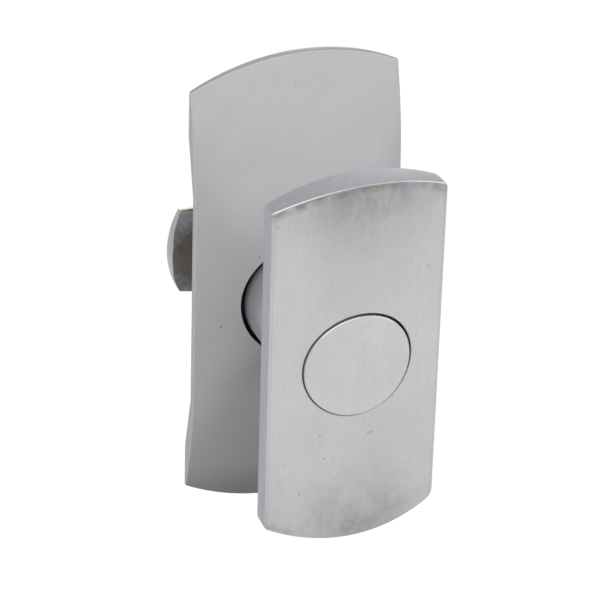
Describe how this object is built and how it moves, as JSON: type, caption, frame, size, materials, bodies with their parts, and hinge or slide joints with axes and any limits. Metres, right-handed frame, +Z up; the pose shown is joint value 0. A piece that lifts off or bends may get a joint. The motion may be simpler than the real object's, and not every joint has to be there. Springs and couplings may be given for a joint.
{
  "type": "enclosure door handle",
  "caption": "Quarter-turn door handle for an enclosure: a crowned escutcheon plate, a grip plate on a round hub with a flush push button in its face, and a ramped cam behind the door",
  "frame": {"origin": "Where the spindle's axis meets the outer face of the door that the escutcheon plate lies on", "axes": "+X to the right seen from the front, +Y into the door along the spindle's axis, +Z up along the plate; the front faces -Y"},
  "size_m": [0.05, 0.0691, 0.116],
  "materials": {
    "blasted_alloy": "fine blasted grain, matte light grey",
    "brushed_alloy": "satin, fine brushing along the grip, handled",
    "turned_alloy": "fine turned",
    "zinc_steel": "zinc plated and passivated",
    "bright_steel": "bright steel",
    "spring_steel": "phosphated spring steel",
    "seal_rubber": "matte black",
    "bush_plastic": "moulded black",
    "washer_plastic": "moulded off-white"
  },
  "bodies": {
    "base": {"escutcheon": "blasted_alloy", "seal_ring": "seal_rubber", "friction_washer": "washer_plastic", "lock_ring": "zinc_steel", "bearing_bush": "bush_plastic"},
    "handle": {"grip": "brushed_alloy", "spindle": "turned_alloy", "grip_screws": "bright_steel", "grip_dowels": "bright_steel", "thrust_washer": "zinc_steel", "retaining_ring": "spring_steel", "cam": "zinc_steel", "cam_washer": "zinc_steel", "spring_washer": "zinc_steel", "cam_bolt": "zinc_steel", "button_spring": "bright_steel"},
    "button": {"push_button": "brushed_alloy", "button_stem": "bright_steel", "stem_clip": "spring_steel", "spring_seat": "zinc_steel", "lock_pin": "bright_steel"}
  },
  "joints": [
    {"name": "handle_turn", "type": "hinge", "parent": "base", "child": "handle", "pos_m": [0, 0, 0], "axis": [0, 1, 0], "range_deg": [0, 90]},
    {"name": "button_press", "type": "slide", "parent": "handle", "child": "button", "axis": [0, 1, 0], "range_m": [0, 0.0025], "stiffness_N_per_m": 1500, "springref_m": -0.003, "deforming": ["button_spring"]}
  ]
}
